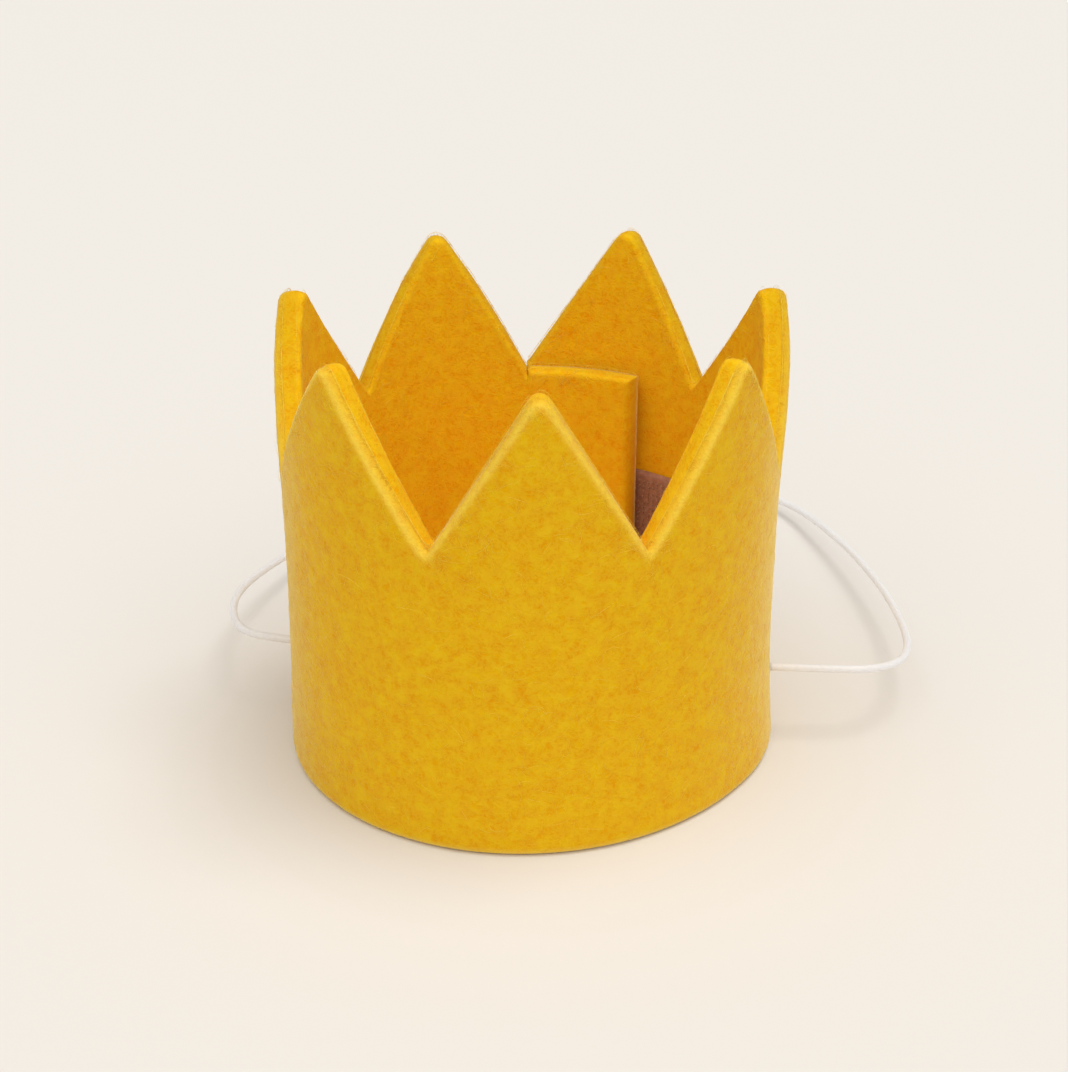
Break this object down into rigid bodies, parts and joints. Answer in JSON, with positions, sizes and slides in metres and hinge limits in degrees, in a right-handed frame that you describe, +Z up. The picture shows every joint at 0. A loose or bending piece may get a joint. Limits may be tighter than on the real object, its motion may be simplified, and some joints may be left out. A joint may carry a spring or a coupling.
{
  "type": "felt party crown",
  "caption": "Small crown of thick felt, rolled and lapped at the back into a pointed ring, with a patch of hook tape in the lap and a thin elastic chin cord.",
  "frame": {"origin": "middle of the ring, on the surface the crown stands on", "axes": "+Z up out of the open top, -Y towards the front point, +X to the right seen from the front"},
  "size_m": [0.0901, 0.1034, 0.0555],
  "materials": {
    "felt": "matted wool, rough",
    "hook_tape": "woven hook tape, rough",
    "elastic": "thin round elastic, slightly glossy"
  },
  "bodies": {
    "root": {"felt_band": "felt", "fastening_patch": "hook_tape", "elastic_cord": "elastic", "left_knot": "elastic", "right_knot": "elastic"}
  },
  "joints": []
}
